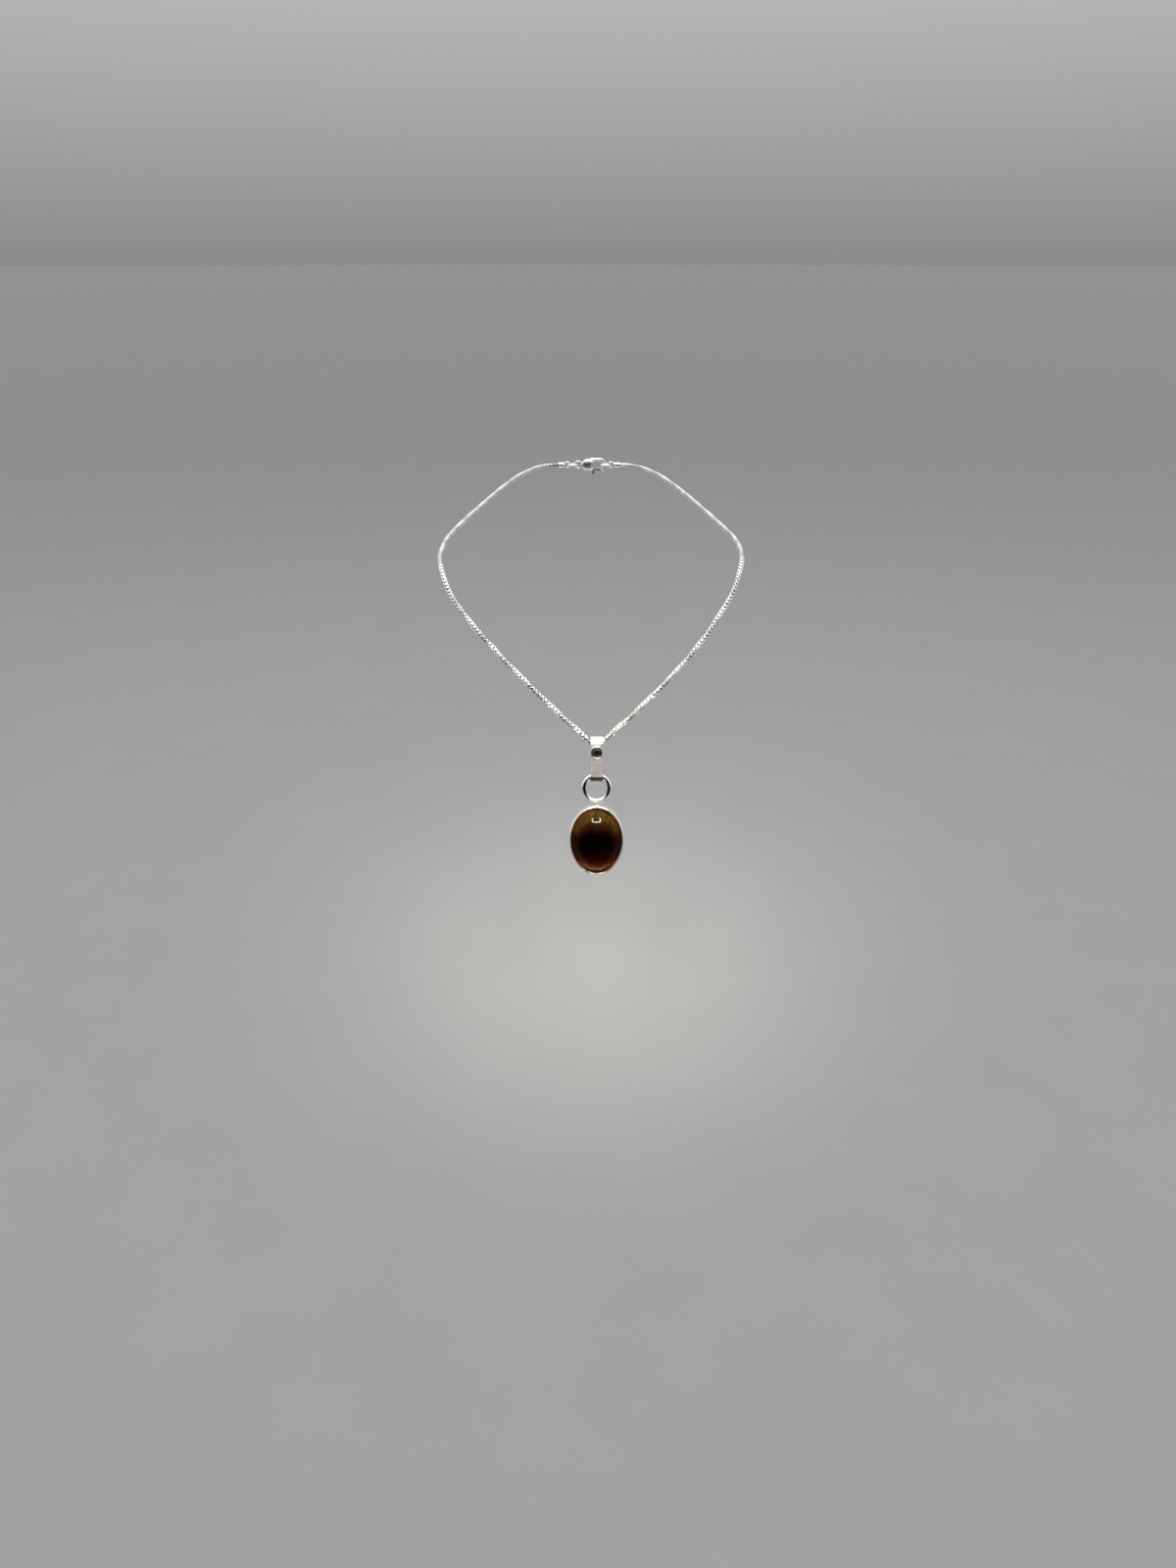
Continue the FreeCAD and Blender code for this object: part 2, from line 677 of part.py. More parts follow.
def check_and_write():
    failed = [o.Name for o in doc.Objects if "Invalid" in o.State or "Error" in o.State]
    if failed:
        raise RuntimeError(f"these objects failed to recompute: {failed}")
    pieces = {name: doc.getObject(name) for name in NODES}
    for name, piece in pieces.items():
        piece.Label = name
        if piece.Shape.isNull() or not piece.Shape.isValid():
            raise RuntimeError(f"{name} has no valid shape")
    os.makedirs("parts", exist_ok=True)
    for name, piece in pieces.items():
        piece.Shape.exportStep(f"parts/{name}.step")
        print(f"{name}: {piece.Shape.Volume:.3f} mm3, {len(piece.Shape.Solids)} solid")


build()
check_and_write()
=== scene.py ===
"""Pendant necklace: an oval cognac cabochon in a silver bezel, on a ring, a strap bail and a box chain."""

import json
import math

import bmesh
import bpy
import numpy as np
from mathutils import Matrix, Vector, noise


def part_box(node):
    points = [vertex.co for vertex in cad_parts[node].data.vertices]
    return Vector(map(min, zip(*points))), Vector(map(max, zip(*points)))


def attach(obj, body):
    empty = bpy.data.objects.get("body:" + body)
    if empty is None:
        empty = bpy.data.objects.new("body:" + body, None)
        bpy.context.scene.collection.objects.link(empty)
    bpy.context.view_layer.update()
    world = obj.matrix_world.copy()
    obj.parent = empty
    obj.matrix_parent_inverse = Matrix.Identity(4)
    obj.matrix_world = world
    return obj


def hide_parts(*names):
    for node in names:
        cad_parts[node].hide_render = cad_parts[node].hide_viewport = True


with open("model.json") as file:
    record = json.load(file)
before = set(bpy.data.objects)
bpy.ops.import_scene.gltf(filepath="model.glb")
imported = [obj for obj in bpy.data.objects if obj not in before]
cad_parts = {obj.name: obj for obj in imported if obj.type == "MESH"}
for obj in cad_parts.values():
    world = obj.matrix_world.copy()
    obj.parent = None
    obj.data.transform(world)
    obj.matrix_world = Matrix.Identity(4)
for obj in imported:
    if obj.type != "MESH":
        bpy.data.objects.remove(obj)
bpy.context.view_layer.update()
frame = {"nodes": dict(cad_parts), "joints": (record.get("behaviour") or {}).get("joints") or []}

scene = bpy.context.scene
MM = 0.001
TURN = 2 * math.pi


# Camera ------------------------------------------------------------------------------------------

CAMERA_PLACE = (-0.00058, -0.39962, 0.08755)
CAMERA_TILT = 65.0
CAMERA_LENS = 26.0

camera_data = bpy.data.cameras.new("camera")
camera_data.lens = CAMERA_LENS
camera = bpy.data.objects.new("camera", camera_data)
camera.location = CAMERA_PLACE
camera.rotation_euler = (math.radians(CAMERA_TILT), 0, 0)
scene.collection.objects.link(camera)
scene.camera = camera


# Frames of the parts -----------------------------------------------------------------------------

JOINTS = {joint["name"]: joint for joint in frame["joints"]}
LEAN = math.radians(14)


def middle_of(node):
    low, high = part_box(node)
    return (low + high) / 2


hang_origin = Vector(JOINTS["bail_swing"]["pos_m"])
HANG = Matrix.Translation(hang_origin) @ Matrix.Rotation(-LEAN, 4, "X")
nape_origin = Vector(JOINTS["clasp_swing"]["pos_m"])
nape_origin.x = 0
NAPE = Matrix.Translation(nape_origin)


def hung(node):
    """The middle of a CAD node's box in the hanging frame, in millimetres."""
    return HANG.inverted() @ middle_of(node) / MM


# Mesh building -----------------------------------------------------------------------------------
# Shapes are (vertices, faces) in millimetres.


def grid(rings, around=True, along=False):
    """Quads between equal rings of points."""
    count, width = len(rings), len(rings[0])
    vertices = [point for ring in rings for point in ring]
    faces = []
    for i in range(count if along else count - 1):
        for j in range(width if around else width - 1):
            a, b = i * width, ((i + 1) % count) * width
            k = (j + 1) % width
            faces.append((a + j, a + k, b + k, b + j))
    return vertices, faces


def closed_ends(shape, width):
    """Closes the first and the last ring of a tube with one face each."""
    vertices, faces = shape
    last = len(vertices) - width
    ends = [tuple(range(width - 1, -1, -1)), tuple(range(last, last + width))]
    return vertices, faces + ends


def lathe(profile, count=64):
    """Turns (radius, height) points about Z; a radius of zero closes the end."""
    vertices, faces, rows = [], [], []
    for radius, height in profile:
        if radius == 0:
            rows.append([len(vertices)] * count)
            vertices.append((0, 0, height))
            continue
        rows.append([len(vertices) + k for k in range(count)])
        for k in range(count):
            angle = TURN * k / count
            vertices.append((radius * math.cos(angle), radius * math.sin(angle), height))
    for low, high in zip(rows, rows[1:]):
        for k in range(count):
            n = (k + 1) % count
            corners = [low[k], low[n], high[n], high[k]]
            faces.append(tuple(dict.fromkeys(corners)))
    return vertices, faces


def joined(*shapes):
    vertices, faces = [], []
    for some, corners in shapes:
        start = len(vertices)
        vertices += list(some)
        faces += [tuple(c + start for c in face) for face in corners]
    return vertices, faces


def moved(shape, matrix):
    vertices, faces = shape
    return [tuple(matrix @ Vector(v)) for v in vertices], faces


def wire_arc(radius, wire, start=0.0, sweep=TURN, steps=96, sides=20, wire_at=None, radius_at=None):
    """A round wire bent about Z; whole when it sweeps a full turn, else with rounded cut ends."""
    whole = sweep >= TURN
    rings = []
    for i in range(steps if whole else steps + 1):
        angle = start + sweep * i / steps
        thick = wire_at(angle) if wire_at else wire
        bend = radius_at(angle) if radius_at else radius
        ring = []
        for j in range(sides):
            turn = TURN * j / sides
            out = bend + thick * math.cos(turn)
            ring.append((out * math.cos(angle), out * math.sin(angle), thick * math.sin(turn)))
        rings.append(ring)
    shape = grid(rings, along=whole)
    return shape if whole else closed_ends(shape, sides)


def piece(name, shape, place, material, body, replaces, sharp=40):
    """A mesh in a frame of its own, riding a body and standing for CAD nodes."""
    vertices, faces = shape
    mesh = bpy.data.meshes.new(name)
    mesh.from_pydata([[c * MM for c in v] for v in vertices], [], faces)
    work = bmesh.new()
    work.from_mesh(mesh)
    bmesh.ops.recalc_face_normals(work, faces=work.faces)
    for face in work.faces:
        face.smooth = True
    for edge in work.edges:
        flat = len(edge.link_faces) == 2 and edge.calc_face_angle(0) < math.radians(sharp)
        edge.smooth = flat
    work.to_mesh(mesh)
    work.free()
    mesh.materials.append(material)
    thing = bpy.data.objects.new(name, mesh)
    thing.matrix_world = place
    scene.collection.objects.link(thing)
    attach(thing, body)
    if replaces:
        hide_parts(*replaces)
    return thing


# Materials ---------------------------------------------------------------------------------------


class Paint:
    """A principled material with its own small node tree."""

    def __init__(self, name, **constants):
        self.material = bpy.data.materials.new(name)
        self.material.use_nodes = True
        self.tree = self.material.node_tree
        self.shader = next(n for n in self.tree.nodes if n.type == "BSDF_PRINCIPLED")
        for socket, number in constants.items():
            self.shader.inputs[socket.replace("_", " ")].default_value = number
        self.place = self.node("ShaderNodeTexCoord").outputs["Object"]

    def node(self, kind, inputs=None, **settings):
        made = self.tree.nodes.new(kind)
        for key, value in settings.items():
            setattr(made, key, value)
        for key, value in (inputs or {}).items():
            self.feed(made.inputs[key], value)
        return made

    def feed(self, socket, value):
        if isinstance(value, bpy.types.NodeSocket):
            self.tree.links.new(value, socket)
        else:
            socket.default_value = value

    def set(self, **sockets):
        for socket, value in sockets.items():
            self.feed(self.shader.inputs[socket.replace("_", " ")], value)

    def stretched(self, x, y, z):
        return self.node("ShaderNodeMapping", {"Vector": self.place, "Scale": (x, y, z)}).outputs[0]

    def noise(self, scale, detail=3.0, rough=0.5, where=None, distortion=0.0):
        inputs = {"Vector": where or self.place, "Scale": scale, "Detail": detail}
        inputs.update({"Roughness": rough, "Distortion": distortion})
        return self.node("ShaderNodeTexNoise", inputs).outputs["Fac"]

    def ramp(self, factor, stops, smooth=False):
        made = self.node("ShaderNodeValToRGB", {"Fac": factor})
        band = made.color_ramp
        band.interpolation = "EASE" if smooth else "LINEAR"
        while len(band.elements) < len(stops):
            band.elements.new(0.5)
        for element, (spot, colour) in zip(band.elements, stops):
            element.position = spot
            element.color = (*colour, 1) if len(colour) == 3 else colour
        return made.outputs["Color"]

    def map(self, value, low, high, to_low, to_high):
        inputs = {"Value": value, "From Min": low, "From Max": high, "To Min": to_low, "To Max": to_high}
        return self.node("ShaderNodeMapRange", inputs).outputs["Result"]

    def math(self, operation, first, second=0.0):
        made = self.node("ShaderNodeMath", operation=operation)
        self.feed(made.inputs[0], first)
        self.feed(made.inputs[1], second)
        return made.outputs[0]

    def mix(self, factor, first, second, blend="MIX"):
        made = self.node("ShaderNodeMix", data_type="RGBA", blend_type=blend)
        self.feed(made.inputs["Factor"], factor)
        colours = [s for s in made.inputs if s.type == "RGBA"]
        for socket, value in zip(colours, (first, second)):
            self.feed(socket, value if isinstance(value, bpy.types.NodeSocket) else (*value, 1))
        return next(s for s in made.outputs if s.type == "RGBA")

    def bump(self, height, strength, distance):
        inputs = {"Height": height, "Strength": strength, "Distance": distance}
        self.set(Normal=self.node("ShaderNodeBump", inputs).outputs["Normal"])


# Default colour of the painted dark reflection on the silver.
PAINTED_DARK_REFLECTION = (0.05, 0.036, 0.024)
LENGTHWISE = (1, 1, 0.12)


def silver(name, bright, dull, rough, grain=0.12, along=(1, 1, 1), painted_dark_reflection_mask=None, painted_dark_reflection_colour=PAINTED_DARK_REFLECTION):
    """Silver with a faint cloudy shade, fine polishing lines, small dents, and a painted dark reflection
    where the mask says.
    """
    paint = Paint(name, Metallic=1.0)
    cloud = paint.noise(420.0, 4.0, 0.6)
    lines = paint.noise(5200.0, 3.0, 0.6, paint.stretched(*along))
    dents = paint.noise(900.0, 2.0)
    colour = paint.ramp(cloud, [(0.3, dull), (0.62, bright)])
    if painted_dark_reflection_mask is not None:
        # Mixes in the painted dark reflection.
        colour = paint.mix(painted_dark_reflection_mask(paint, paint.map(dents, 0.3, 0.7, -0.0002, 0.0002)), colour, painted_dark_reflection_colour)
    paint.set(Base_Color=colour)
    worn = paint.map(cloud, 0.3, 0.7, rough[0], rough[1])
    paint.set(Roughness=paint.math("ADD", worn, paint.map(lines, 0.3, 0.7, 0, 0.05)))
    height = paint.math("ADD", paint.math("MULTIPLY", lines, 0.25), dents)
    paint.bump(height, grain, 0.00008)
    return paint.material


def below(height, fade):
    """Painted dark reflection under this height of the piece."""
    def painted_dark_reflection_mask(paint, wander):
        up = paint.node("ShaderNodeSeparateXYZ", {"Vector": paint.place}).outputs["Z"]
        return paint.map(paint.math("ADD", up, wander), height, height - fade, 0.0, 0.9)
    return painted_dark_reflection_mask


def inner_sides(radius, wide):
    """Painted dark reflection on the inner half of a ring about Y, on its left and right sides."""
    def painted_dark_reflection_mask(paint, wander):
        level = {0: paint.place, 1: (1, 0, 1)}
        flat = paint.node("ShaderNodeVectorMath", level, operation="MULTIPLY").outputs[0]
        out = paint.node("ShaderNodeVectorMath", {0: flat}, operation="LENGTH").outputs["Value"]
        parts = paint.node("ShaderNodeSeparateXYZ", {"Vector": paint.place}).outputs
        aside = paint.math("ABSOLUTE", parts["X"])
        inner = paint.map(paint.math("ADD", out, wander), radius + 0.0001, radius - 0.0001, 0.0, 0.97)
        return paint.math("MULTIPLY", inner, paint.map(aside, wide, wide + 0.0006, 0.0, 1.0))
    return painted_dark_reflection_mask


SILVER = (0.955, 0.945, 0.925)
SHADE = (0.80, 0.785, 0.76)
polished = silver("polished_silver", SILVER, SHADE, (0.10, 0.2))
linked = silver("chain_silver", (0.78, 0.77, 0.75), (0.52, 0.51, 0.49), (0.14, 0.24), 0.06)
# The darker band under the bail's bottom fold is painted shade and a painted dark reflection.
strap_silver = silver(
    "strap_silver", (0.70, 0.685, 0.66), (0.57, 0.56, 0.53), (0.34, 0.44), 0.3, LENGTHWISE,
    painted_dark_reflection_mask=below(-0.0099, 0.0005)
)
# The darker lower part of the rim is a painted dark reflection.
rim_silver = silver(
    "rim_silver", SILVER, SHADE, (0.10, 0.2), painted_dark_reflection_mask=below(-0.0070, 0.0025), painted_dark_reflection_colour=(0.26, 0.24, 0.2)
)
# The near-black inner left and right sides of the ring are a painted dark reflection.
ring_silver = silver(
    "ring_silver", SILVER, SHADE, (0.10, 0.2), painted_dark_reflection_mask=inner_sides(0.0040, 0.0026), painted_dark_reflection_colour=(0.02, 0.012, 0.01)
)
# The solder is a duller silver, and its darkness is partly painted shade for the notch between ring and
# bezel.
joint_silver = silver("joint_silver", (0.50, 0.48, 0.44), (0.34, 0.32, 0.29), (0.26, 0.4), 0.3)
back_silver = silver(
    "back_plate_silver", (0.94, 0.93, 0.91), (0.78, 0.76, 0.72), (0.16, 0.3), 0.25, (1, 1, 0.1)
)


def steel():
    paint = Paint("spring_steel", Metallic=1.0)
    streak = paint.noise(3000.0, 3.0)
    paint.set(Base_Color=paint.ramp(streak, [(0.3, (0.36, 0.35, 0.34)), (0.7, (0.56, 0.55, 0.53))]))
    paint.set(Roughness=paint.map(streak, 0.3, 0.7, 0.22, 0.38))
    paint.bump(streak, 0.1, 0.00003)
    return paint.material


SEEN_WIDE = 0.0072
SEEN_HIGH = 0.0097


def amber():
    """Cognac stone with painted light: olive gold at the top as painted light, black in the middle as a
    painted dark reflection, red brown below and a painted orange glow at the lower edge.
    """
    paint = Paint("cognac_cabochon", IOR=1.5, Specular_IOR_Level=0.1)
    parts = paint.node("ShaderNodeSeparateXYZ", {"Vector": paint.place}).outputs
    wander = paint.noise(260.0, 3.0, 0.55, distortion=0.4)
    across = paint.math("DIVIDE", parts["X"], SEEN_WIDE)
    up = paint.math("DIVIDE", parts["Z"], SEEN_HIGH)
    sag = paint.map(up, -0.7, 0.3, -0.30, 0.34)
    bowed = paint.math("MULTIPLY", paint.math("MULTIPLY", across, across), sag)
    level = paint.math("ADD", paint.math("ADD", up, bowed), paint.map(wander, 0.3, 0.7, -0.045, 0.045))
    # Colour by height: painted light at the top, a painted dark reflection in the middle and a painted glow
    # at the bottom.
    stops = [
        (0.0, (0.19, 0.062, 0.010)),
        (0.055, (0.15, 0.040, 0.005)),
        (0.12, (0.030, 0.0030, 0.0002)),
        (0.22, (0.007, 0.0004, 0.0001)),
        (0.33, (0.0026, 0.0001, 0.0)),
        (0.42, (0.0006, 0.0001, 0.0)),
        (0.62, (0.0006, 0.0001, 0.0)),
        (0.70, (0.009, 0.0012, 0.0001)),
        (0.77, (0.022, 0.008, 0.0005)),
        (0.86, (0.050, 0.026, 0.0015)),
        (0.94, (0.056, 0.028, 0.002)),
        (1.0, (0.05, 0.024, 0.002)),
    ]
    body = paint.ramp(paint.map(level, -1, 1, 0, 1), stops)
    # A painted orange glow towards the stone's edge.
    outward = paint.math("ADD", paint.math("MULTIPLY", across, across), paint.math("MULTIPLY", up, up))
    glow = paint.ramp(outward, [(0.45, (0, 0, 0)), (1.0, (0.015, 0.003, 0.0005))])
    body = paint.mix(1.0, body, glow, "ADD")
    streaks = paint.noise(800.0, 5.0, 0.65, paint.stretched(1.0, 1.0, 0.35), 0.8)
    fibres = paint.ramp(streaks, [(0.35, (0.3, 0.25, 0.2)), (0.66, (1.2, 1.2, 1.2))])
    gold = paint.mix(0.75, body, fibres, "MULTIPLY")
    paint.set(Base_Color=gold)
    paint.set(Roughness=paint.map(wander, 0.3, 0.7, 0.012, 0.03))
    return paint.material


def smoky():
    paint = Paint("smoky_accent", IOR=1.7, Specular_IOR_Level=0.5)
    depth = paint.noise(1400.0, 3.0)
    paint.set(Base_Color=paint.ramp(depth, [(0.3, (0.002, 0.0015, 0.001)), (0.75, (0.014, 0.008, 0.005))]))
    paint.set(Roughness=paint.map(depth, 0.3, 0.7, 0.03, 0.08))
    return paint.material


# Chain -------------------------------------------------------------------------------------------

CHAIN_ROUTE = [
    (-0.0103, 0.0585, 0.0128),
    (-0.0176, 0.0585, 0.0128),
    (-0.0248, 0.0475, 0.0120),
    (-0.0303, 0.0330, 0.0106),
    (-0.0354, 0.0170, 0.0086),
    (-0.0401, 0.0015, 0.0065),
    (-0.0445, -0.0140, 0.0045),
    (-0.0479, -0.0280, 0.0025),
    (-0.0488, -0.0415, -0.0017),
    (-0.0422, -0.0540, -0.0118),
    (-0.0294, -0.0653, -0.0230),
    (-0.0135, -0.0767, -0.0354),
    (-0.00254, -0.08346, -0.04332),
    (0.0020, -0.0862, -0.0464),
    (0.00645, -0.08337, -0.04323),
    (0.0180, -0.0762, -0.0350),
    (0.0332, -0.0649, -0.0226),
    (0.0448, -0.0520, -0.0094),
    (0.0493, -0.0405, -0.0009),
    (0.0486, -0.0275, 0.0026),
    (0.0449, -0.0140, 0.0044),
    (0.0404, 0.0015, 0.0065),
    (0.0356, 0.0170, 0.0086),
    (0.0304, 0.0330, 0.0106),
    (0.0246, 0.0475, 0.0120),
    (0.0172, 0.0585, 0.0128),
    (0.0099, 0.0585, 0.0128),
]
CHAIN_WIDTH = 0.0015
LINK_PITCH = 0.68
LINK_WALL = 0.24
LINK_BAND = 0.96
LINK_LONG = LINK_PITCH + 2 * LINK_WALL
LINK_CORNER = 0.3
LINK_CHAMFER = 0.05
TWIST_LENGTH = 12.0


def route_line():
    """Points close together on the smooth curve of the route, in metres."""
    curve = bpy.data.curves.new("chain_line", "CURVE")
    curve.dimensions = "3D"
    curve.resolution_u = 40
    spline = curve.splines.new("NURBS")
    spline.points.add(len(CHAIN_ROUTE) - 1)
    for point, spot in zip(spline.points, CHAIN_ROUTE):
        point.co = (*spot, 1)
    spline.order_u = 3
    spline.use_endpoint_u = True
    holder = bpy.data.objects.new("chain_line", curve)
    scene.collection.objects.link(holder)
    bpy.context.view_layer.update()
    line = bpy.data.meshes.new_from_object(holder)
    points = np.array([v.co for v in line.vertices], float)
    bpy.data.objects.remove(holder)
    return points


def link_template():
    """A rectangular ring of flat wire: along the chain, across it, and through it."""
    long, wide = LINK_LONG / 2 - LINK_CORNER, CHAIN_WIDTH / MM / 2 - LINK_CORNER
    path = []
    for corner, (sx, sy) in enumerate([(1, 1), (-1, 1), (-1, -1), (1, -1)]):
        for step in range(4):
            angle = (corner + step / 3) * math.pi / 2
            path.append((sx * long, sy * wide, math.cos(angle), math.sin(angle)))
    half, thin, cut = LINK_BAND / 2, LINK_WALL, LINK_CHAMFER
    profile = [(0, -half + cut), (0, half - cut), (-cut, half), (-thin + cut, half)]
    profile += [(-thin, half - cut), (-thin, -half + cut), (-thin + cut, -half), (-cut, -half)]
    rings = []
    for x, y, nx, ny in path:
        reach = [LINK_CORNER + out for out, _ in profile]
        rings.append([(x + nx * r, y + ny * r, band) for r, (_, band) in zip(reach, profile)])
    return grid(rings, along=True)


def chain_frames(line):
    """Evenly spaced places along the chain with a slowly twisting pair of cross directions."""
    steps = np.linalg.norm(np.diff(line, axis=0), axis=1)
    run = np.concatenate([[0], np.cumsum(steps)])
    count = int(run[-1] / (LINK_PITCH * MM))
    stations = (np.arange(count) + 0.5) * run[-1] / count
    spots = np.stack([np.interp(stations, run, line[:, i]) for i in range(3)], 1)
    tangents = np.gradient(spots, axis=0)
    tangents /= np.linalg.norm(tangents, axis=1)[:, None]
    across = np.zeros_like(spots)
    last = np.array([0.0, 0.0, 1.0])
    for i, tangent in enumerate(tangents):
        last = last - tangent * last.dot(tangent)
        last /= np.linalg.norm(last)
        across[i] = last
    through = np.cross(tangents, across)
    low = int(np.argmin(spots[:, 2]))
    front = np.array(HANG.to_3x3() @ Vector((0, -1, 0)))
    start = math.atan2(front.dot(through[low]), front.dot(across[low]))
    away = (stations - stations[low]) / MM
    lazy = 0.35 * np.sin(away / 19.0) + 0.2 * np.sin(away / 7.3)
    turn = start + math.pi / 4 + (away / TWIST_LENGTH + lazy) * math.pi / 2
    first = across * np.cos(turn)[:, None] + through * np.sin(turn)[:, None]
    second = np.cross(tangents, first)
    return spots, tangents, first, second


def chain():
    line = route_line()
    spots, tangents, first, second = chain_frames(line)
    template, faces = link_template()
    template = np.array(template, float)
    vertices, corners = [], []
    for i in range(len(spots)):
        side, face = (first[i], second[i]) if i % 2 else (second[i], -first[i])
        axes = np.stack([tangents[i], side, face])
        vertices.append(spots[i] / MM + template @ axes)
        corners += [tuple(c + i * len(template) for c in quad) for quad in faces]
    shape = (np.concatenate(vertices).tolist(), corners)
    links = piece("chain_links", shape, Matrix.Identity(4), linked, "chain", ["chain"], 50)


chain()


# Bail --------------------------------------------------------------------------------------------

STRAP_THICK = 0.65
STRAP_WIDE = 3.66
TOP_FOLD = 1.55
BOTTOM_FOLD = 1.3
STRAP_EDGE = 0.13


def fold_centres():
    """Heights of the two folds' centres in the hanging frame."""
    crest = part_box("bail_strap")[1].z / MM - TOP_FOLD - STRAP_THICK
    top = (crest - hang_origin.z / MM) / math.cos(LEAN)
    bottom = -(Vector(JOINTS["pendant_swing"]["pos_m"]) - hang_origin).length / MM
    return top, bottom


def strap_path():
    """(back, up, normal back, normal up) along the inside of the folded strap."""
    top, bottom = fold_centres()
    lean = math.asin((TOP_FOLD - BOTTOM_FOLD) / (top - bottom))
    path = []
    for centre, radius, begin, end in ((top, TOP_FOLD, -lean, math.pi + lean),
                                       (bottom, BOTTOM_FOLD, math.pi + lean, TURN - lean)):
        for i in range(41):
            angle = begin + (end - begin) * i / 40
            nb, nu = math.cos(angle), math.sin(angle)
            path.append((radius * nb, centre + radius * nu, nb, nu))
    rows = []
    for i, here in enumerate(path):
        rows.append(here)
        there = path[(i + 1) % len(path)]
        gap = math.dist(here[:2], there[:2])
        for k in range(1, 48 if gap > 2 else 1):
            share = k / 48
            rows.append(tuple(a + (b - a) * share for a, b in zip(here, there)))
    return rows


def bail():
    top, bottom = fold_centres()
    seam = bottom + 1.6
    half, thick, edge = STRAP_WIDE / 2, STRAP_THICK, STRAP_EDGE
    section = []
    for cx, cy, first in ((half - edge, edge, -90), (half - edge, thick - edge, 0),
                          (-half + edge, thick - edge, 90), (-half + edge, edge, 180)):
        for step in range(5):
            angle = math.radians(first + 22.5 * step)
            section.append((cx + edge * math.cos(angle), cy + edge * math.sin(angle)))
        if first == 0:
            section += [(x, thick) for x in (1.2, 0.6, 0.0, -0.6, -1.2)]
    rings = []
    for back, up, nb, nu in strap_path():
        groove = 0.09 * math.exp(-(((up - seam) / 0.07) ** 2)) if nb > 0.9 else 0.0
        ring = []
        for x, out in section:
            wave = 0.018 * noise.noise(Vector((x * 0.8, back * 0.8, up * 0.8)))
            reach = out + wave - (groove if out > thick / 2 else 0)
            ring.append((x, back + nb * reach, up + nu * reach))
        rings.append(ring)
    shape = grid(rings, along=True)
    piece("bail_loop", shape, HANG, strap_silver, "bail", ["bail_strap"], 60)


CUP_HEIGHT = 1.3


def accent():
    """A small faceted stone in a cup on the bail's front leg, in the leg's own slope."""
    top, bottom = fold_centres()
    narrowing = math.asin((TOP_FOLD - BOTTOM_FOLD) / (top - bottom))
    turned = Matrix.Rotation(-LEAN + math.radians(90) + narrowing, 4, "X")
    base = middle_of("accent_setting") - turned.to_3x3() @ Vector((0, 0, CUP_HEIGHT / 2 * MM))
    place = Matrix.Translation(base) @ turned
    cup = [(0, 0), (1.62, 0), (1.70, 0.06), (1.72, 0.3), (1.73, 0.8), (1.78, 1.0), (1.8, 1.14), (1.77, 1.25)]
    cup += [(1.71, 1.3), (1.65, 1.28), (1.6, 1.18), (1.55, 1.02), (1.53, 0.8), (1.2, 0.35), (0, 0.35)]
    piece("accent_cup", lathe(cup, 72), place, polished, "bail", ["accent_setting"])
    rows = [(0.85, 1.5, 0), (1.2, 1.27, 0.5), (1.5, 1.0, 0), (1.5, 0.92, 0), (0.85, 0.66, 0.5)]
    rings = []
    for radius, height, shift in rows:
        rings.append([])
        for k in range(16):
            even = radius if radius == 1.5 or k % 2 == 0 else radius * 0.93
            angle = TURN * (k + shift) / 16
            rings[-1].append((even * math.cos(angle), even * math.sin(angle), height))
    vertices, faces = grid(rings)
    low = len(vertices)
    vertices.append((0, 0, 0.45))
    faces.append(tuple(range(16)))
    faces += [(4 * 16 + k, 4 * 16 + (k + 1) % 16, low) for k in range(16)]
    piece("accent_gem", (vertices, faces), place, smoky(), "bail", ["accent_stone"], 3)


# Ring and bezel ----------------------------------------------------------------------------------

RING_RADIUS = 3.93
RING_WIRE = 0.665
OVAL_HIGH = 10.8
OVAL_WIDE = 8.3
WALL_FRONT = -2.3
WALL_BACK = 2.1
PLATE_BACK = 2.7
STONE_HIGH = 10.0
STONE_WIDE = 7.5
STONE_FRONT = -0.1
STONE_DOME = 4.2
STONE_BACK = 0.5


def hollow(angle, middle, width):
    """1 at the middle angle, falling smoothly to 0 within the width either side, in degrees."""
    off = abs((math.degrees(angle) - middle + 180) % 360 - 180) / width
    return 0.5 + 0.5 * math.cos(math.pi * min(off, 1))


def pinch(angle):
    return max(hollow(angle, 226, 36), hollow(angle, 314, 36))


def ring():
    """The wire is a little thinner and flatter where it runs down to the solder."""
    wire = wire_arc(
        RING_RADIUS, RING_WIRE, steps=160, sides=28,
        wire_at=lambda a: RING_WIRE - 0.09 * pinch(a),
        radius_at=lambda a: RING_RADIUS - 0.09 * pinch(a),
    )
    upright = moved(wire, Matrix.Rotation(math.radians(90), 4, "X"))
    place = HANG @ Matrix.Translation(hung("pendant_ring") * MM)
    piece("hanging_ring", upright, place, ring_silver, "pendant", ["pendant_ring"])


def solder(stone_up):
    ring_low = hung("pendant_ring").z - RING_RADIUS - RING_WIRE - stone_up
    low, gap = OVAL_HIGH, ring_low - OVAL_HIGH
    profile = [(0, low - 0.3), (1.0, low - 0.22), (0.98, low - 0.02), (0.84, low + 0.12)]
    profile += [(0.7, low + gap * 0.5), (0.72, low + gap * 0.8), (0.82, low + gap * 1.05)]
    profile += [(0.8, low + gap + 0.2), (0.5, low + gap + 0.34), (0, low + gap + 0.36)]
    vertices, faces = lathe(profile, 40)
    lumpy = []
    for x, y, z in vertices:
        swell = 1 + 0.09 * noise.noise(Vector((x * 1.4, y * 1.4, z * 1.4 + 5)))
        lumpy.append((x * swell, y * swell * 0.9, z))
    return lumpy, faces


def oval_ring(inset, depth, count=240):
    points = []
    for k in range(count):
        angle = TURN * k / count
        points.append(((OVAL_WIDE - inset) * math.cos(angle), depth, (OVAL_HIGH - inset) * math.sin(angle)))
    return points


BURR = 243


